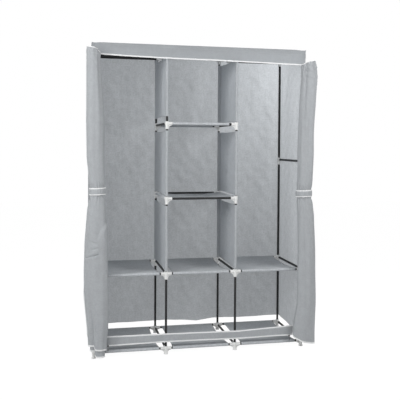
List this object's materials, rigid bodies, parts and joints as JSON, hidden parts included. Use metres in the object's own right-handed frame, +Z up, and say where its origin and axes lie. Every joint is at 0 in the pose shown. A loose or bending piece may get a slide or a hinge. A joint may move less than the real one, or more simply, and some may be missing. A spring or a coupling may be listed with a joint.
{
  "type": "fabric wardrobe",
  "caption": "Free-standing cloth wardrobe on a plug-together tube frame, with shelves, dividers, hanging rods and rolled doors tied at the front corners.",
  "frame": {"origin": "on the floor, at the middle of the whole thing's box", "axes": "+Z up, +Y from the open front to the back wall, +X to the right of someone facing the open front"},
  "size_m": [1.3344, 0.5294, 1.7464],
  "materials": {
    "black_tube": "black powder coat, half gloss",
    "joint_plastic": "off-white moulded plastic",
    "cover_cloth": "light grey non-woven cloth",
    "shelf_cloth": "grey non-woven cloth",
    "edge_tape": "white woven edge tape",
    "zip_metal": "dark zip metal"
  },
  "bodies": {
    "frame_and_cover": {"left_outer_ladder": "black_tube", "left_inner_ladder": "black_tube", "right_inner_ladder": "black_tube", "right_outer_ladder": "black_tube", "front_bottom_rail_left": "black_tube", "front_bottom_rail_middle": "black_tube", "front_bottom_rail_right": "black_tube", "front_lower_shelf_rail_left": "black_tube", "front_lower_shelf_rail_middle": "black_tube", "front_lower_shelf_rail_right": "black_tube", "front_mid_shelf_rail_middle": "black_tube", "front_upper_shelf_rail_middle": "black_tube", "front_top_rail_left": "black_tube", "front_top_rail_middle": "black_tube", "front_top_rail_right": "black_tube", "back_bottom_rail_left": "black_tube", "back_bottom_rail_middle": "black_tube", "back_bottom_rail_right": "black_tube", "back_lower_shelf_rail_left": "black_tube", "back_lower_shelf_rail_middle": "black_tube", "back_lower_shelf_rail_right": "black_tube", "back_mid_shelf_rail_middle": "black_tube", "back_upper_shelf_rail_middle": "black_tube", "back_top_rail_left": "black_tube", "back_top_rail_middle": "black_tube", "back_top_rail_right": "black_tube", "left_hanging_rod": "black_tube", "right_hanging_rod": "black_tube", "bottom_shelf_left": "shelf_cloth", "bottom_shelf_middle": "shelf_cloth", "bottom_shelf_right": "shelf_cloth", "lower_shelf_left": "shelf_cloth", "lower_shelf_middle": "shelf_cloth", "lower_shelf_right": "shelf_cloth", "mid_shelf": "shelf_cloth", "upper_shelf": "shelf_cloth", "left_divider_lower": "cover_cloth", "left_divider_middle": "cover_cloth", "left_divider_upper": "cover_cloth", "right_divider_lower": "cover_cloth", "right_divider_middle": "cover_cloth", "right_divider_upper": "cover_cloth", "roof": "cover_cloth", "front_valance": "cover_cloth", "back_wall": "cover_cloth", "left_wall": "cover_cloth", "right_wall": "cover_cloth", "front_band": "cover_cloth"},
    "left_door": {"left_rolled_door": "cover_cloth", "left_door_strap": "edge_tape"},
    "right_door": {"right_rolled_door": "cover_cloth", "right_door_strap": "edge_tape"},
    "left_slider": {"left_zip_slider": "zip_metal"},
    "left_pull": {"left_zip_pull": "zip_metal"},
    "right_slider": {"right_zip_slider": "zip_metal"},
    "right_pull": {"right_zip_pull": "zip_metal"}
  },
  "joints": [
    {"name": "left_door_swing", "type": "hinge", "parent": "frame_and_cover", "child": "left_door", "pos_m": [-0.6235, -0.1923, 0.9], "axis": [0, 0, -1], "range_deg": [0, 90]},
    {"name": "right_door_swing", "type": "hinge", "parent": "frame_and_cover", "child": "right_door", "pos_m": [0.6235, -0.1923, 0.9], "axis": [0, 0, 1], "range_deg": [0, 90]},
    {"name": "left_zip_slide", "type": "slide", "parent": "frame_and_cover", "child": "left_slider", "axis": [1, 0, 0], "range_m": [0, 0.49]},
    {"name": "right_zip_slide", "type": "slide", "parent": "frame_and_cover", "child": "right_slider", "axis": [-1, 0, 0], "range_m": [0, 0.49]},
    {"name": "left_pull_swing", "type": "hinge", "parent": "left_slider", "child": "left_pull", "pos_m": [-0.5295, -0.1989, 0.0692], "axis": [-1, 0, 0], "range_deg": [0, 165]},
    {"name": "right_pull_swing", "type": "hinge", "parent": "right_slider", "child": "right_pull", "pos_m": [0.5295, -0.1989, 0.0692], "axis": [-1, 0, 0], "range_deg": [0, 165]}
  ]
}
